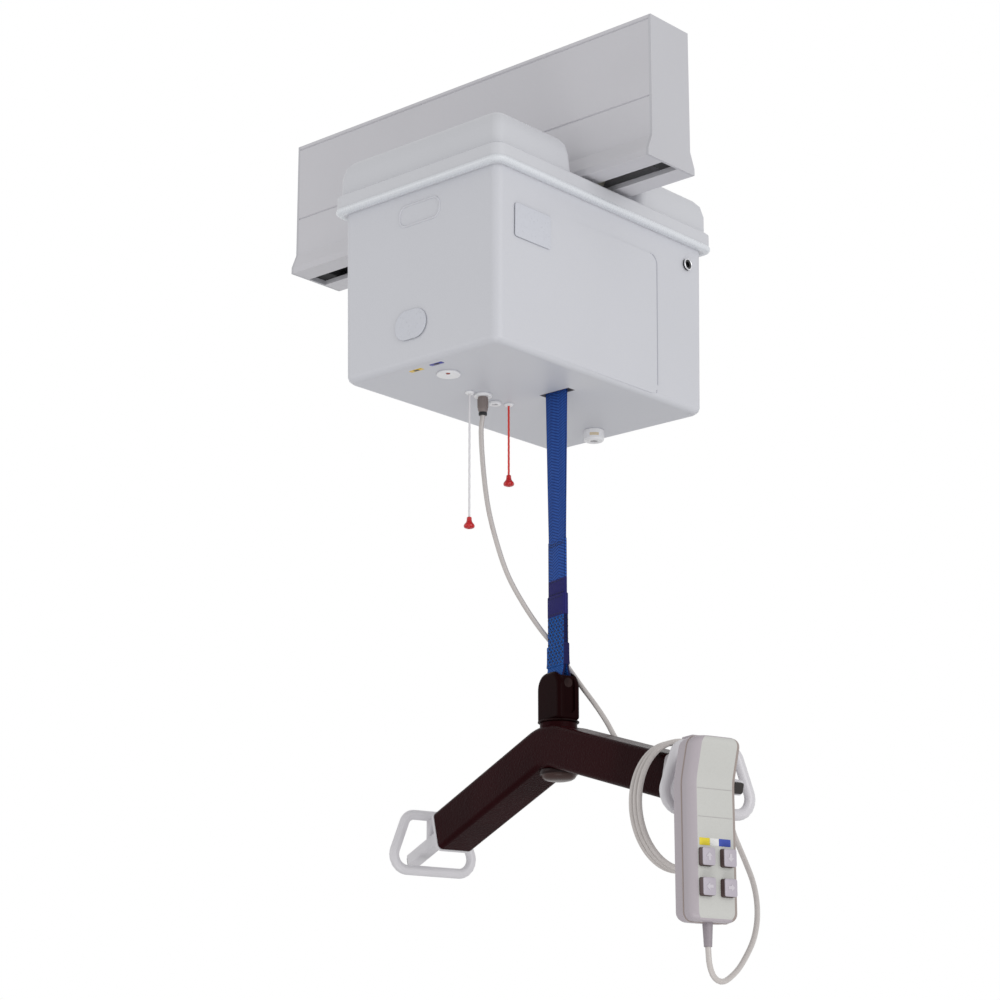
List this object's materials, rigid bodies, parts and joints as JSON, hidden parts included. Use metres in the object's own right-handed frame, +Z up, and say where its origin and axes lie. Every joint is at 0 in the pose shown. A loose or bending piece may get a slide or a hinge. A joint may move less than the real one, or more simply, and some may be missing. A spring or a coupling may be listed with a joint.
{
  "type": "ceiling track hoist",
  "caption": "Ceiling track hoist on a short rail, with a webbing strap, a swivelling spreader bar with two sling hooks and a wired handset.",
  "frame": {"origin": "middle of the rail's top face, between the four ceiling bolt holes", "axes": "+Z up to the ceiling, +X along the rail towards the end with the charging socket, -Y the side seen on the picture's left"},
  "size_m": [0.6323, 0.336, 0.9504],
  "materials": {
    "rail_paint": "white powder coat",
    "end_cap": "satin",
    "stop_rubber": "matte",
    "steel": "satin",
    "gear_brass": "satin",
    "wheel_plastic": "satin",
    "roller_rubber": "matte",
    "motor_black": "satin",
    "tray_plastic": "matte",
    "battery_black": "satin",
    "board_green": "satin",
    "casing_plastic": "fine grain",
    "cover_plastic": "fine grain",
    "socket_black": "gloss",
    "badge_plastic": "satin",
    "fitting_white": "satin",
    "guide_plastic": "satin",
    "plug_brown": "satin",
    "cord_white": "braided",
    "cord_red": "braided",
    "webbing": "woven",
    "webbing_sewn": "woven and stitched",
    "yoke_black": "satin",
    "bar_paint": "hammered",
    "hook_white": "powder coat",
    "handset_grey": "satin",
    "handset_face": "satin",
    "relief_grey": "matte",
    "key_grey": "satin",
    "cable_grey": "satin"
  },
  "bodies": {
    "track": {"rail": "rail_paint", "rail_end_caps": "end_cap", "end_stops": "stop_rubber"},
    "hoist": {"trolley_frame": "steel", "trolley_axles": "steel", "hanger_bolts": "steel", "chassis_plate": "steel", "bearing_plates": "steel", "drum_bearings": "steel", "lift_motor": "motor_black", "roller_bracket": "steel", "traverse_motor": "motor_black", "battery_tray": "tray_plastic", "batteries": "battery_black", "control_board": "board_green", "casing": "casing_plastic", "top_cover": "cover_plastic", "cover_screws": "steel", "charge_socket": "socket_black", "badges": "badge_plastic", "indicator_disc": "fitting_white", "strap_guide": "guide_plastic", "cable_gland": "fitting_white", "sockets": "fitting_white", "handset_plug": "plug_brown", "cord_bushes": "fitting_white", "pull_switches": "battery_black"},
    "front_wheels": {"front_wheels": "wheel_plastic"},
    "rear_wheels": {"rear_wheels": "wheel_plastic"},
    "drive_roller": {"drive_roller": "roller_rubber"},
    "drum": {"drum_shaft": "steel", "drum_spool": "steel", "drum_gear": "gear_brass", "wound_strap": "webbing"},
    "pinion": {"pinion": "steel"},
    "white_pull": {"white_pull": "cord_white"},
    "red_pull": {"red_pull": "cord_red"},
    "strap_end": {"lifting_strap": "webbing", "strap_loop": "webbing_sewn", "cable_drop": "cable_grey"},
    "yoke": {"yoke": "yoke_black", "yoke_pin": "steel", "swivel_stud": "steel", "cable_mid": "cable_grey"},
    "bar": {"spreader_bar": "bar_paint", "swivel_cap": "bar_paint", "left_hook": "hook_white", "right_hook": "hook_white", "cable_run": "cable_grey", "cable_coil": "cable_grey"},
    "handset": {"handset_back": "handset_grey", "handset_front": "handset_face", "handset_board": "board_green", "strain_relief": "relief_grey", "cable_tail": "cable_grey"},
    "key_up": {"key_up": "key_grey"},
    "key_down": {"key_down": "key_grey"},
    "key_left": {"key_left": "key_grey"},
    "key_right": {"key_right": "key_grey"}
  },
  "joints": [
    {"name": "trolley_travel", "type": "slide", "parent": "track", "child": "hoist", "axis": [1, 0, 0], "range_m": [-0.18, 0.06]},
    {"name": "front_wheel_spin", "type": "hinge", "parent": "hoist", "child": "front_wheels", "pos_m": [0.125, 0, -0.1237], "axis": [0, 1, 0], "range_deg": [-500, 180]},
    {"name": "rear_wheel_spin", "type": "hinge", "parent": "hoist", "child": "rear_wheels", "pos_m": [-0.005, 0, -0.1237], "axis": [0, 1, 0], "range_deg": [-500, 180]},
    {"name": "drive_roller_spin", "type": "hinge", "parent": "hoist", "child": "drive_roller", "pos_m": [0.06, 0, -0.1693], "axis": [0, 1, 0], "range_deg": [-220, 600]},
    {"name": "lift", "type": "slide", "parent": "hoist", "child": "strap_end", "axis": [0, 0, -1], "range_m": [-0.12, 1.6], "deforming": ["lifting_strap", "cable_drop"]},
    {"name": "drum_spin", "type": "hinge", "parent": "hoist", "child": "drum", "pos_m": [0.0965, -0.0389, -0.277], "axis": [1, 0, 0], "range_deg": [-2300, 200]},
    {"name": "pinion_spin", "type": "hinge", "parent": "hoist", "child": "pinion", "pos_m": [0.072, -0.1009, -0.277], "axis": [1, 0, 0], "range_deg": [-450, 5500]},
    {"name": "white_cord_pull", "type": "slide", "parent": "hoist", "child": "white_pull", "axis": [0, 0, -1], "range_m": [0, 0.012], "stiffness_N_per_m": 200, "springref_m": -0.002},
    {"name": "red_cord_pull", "type": "slide", "parent": "hoist", "child": "red_pull", "axis": [0, 0, -1], "range_m": [0, 0.012], "stiffness_N_per_m": 200, "springref_m": -0.002},
    {"name": "yoke_swing", "type": "hinge", "parent": "strap_end", "child": "yoke", "pos_m": [0.0965, 0.0025, -0.647], "axis": [0.9563, -0.2924, 0], "range_deg": [-20, 20], "deforming": ["cable_mid"]},
    {"name": "bar_swivel", "type": "hinge", "parent": "yoke", "child": "bar", "pos_m": [0.0965, 0.0025, -0.705], "axis": [0, 0, 1], "continuous": true, "deforming": ["cable_run"]},
    {"name": "handset_unhook", "type": "slide", "parent": "bar", "child": "handset", "axis": [0, 0, 1], "range_m": [0, 0.05], "deforming": ["cable_tail"]},
    {"name": "key_up_press", "type": "slide", "parent": "handset", "child": "key_up", "axis": [-0.9563, 0.2924, 0], "range_m": [0, 0.002], "stiffness_N_per_m": 500, "springref_m": -0.001},
    {"name": "key_down_press", "type": "slide", "parent": "handset", "child": "key_down", "axis": [-0.9563, 0.2924, 0], "range_m": [0, 0.002], "stiffness_N_per_m": 500, "springref_m": -0.001},
    {"name": "key_left_press", "type": "slide", "parent": "handset", "child": "key_left", "axis": [-0.9563, 0.2924, 0], "range_m": [0, 0.002], "stiffness_N_per_m": 500, "springref_m": -0.001},
    {"name": "key_right_press", "type": "slide", "parent": "handset", "child": "key_right", "axis": [-0.9563, 0.2924, 0], "range_m": [0, 0.002], "stiffness_N_per_m": 500, "springref_m": -0.001}
  ],
  "couplings": [
    {"joint": "front_wheel_spin", "follows": "trolley_travel", "rad_per_m": 45.455},
    {"joint": "rear_wheel_spin", "follows": "trolley_travel", "rad_per_m": 45.455},
    {"joint": "drive_roller_spin", "follows": "trolley_travel", "rad_per_m": -55.556},
    {"joint": "drum_spin", "follows": "lift", "rad_per_m": -24.155},
    {"joint": "pinion_spin", "follows": "lift", "rad_per_m": 59.045}
  ]
}
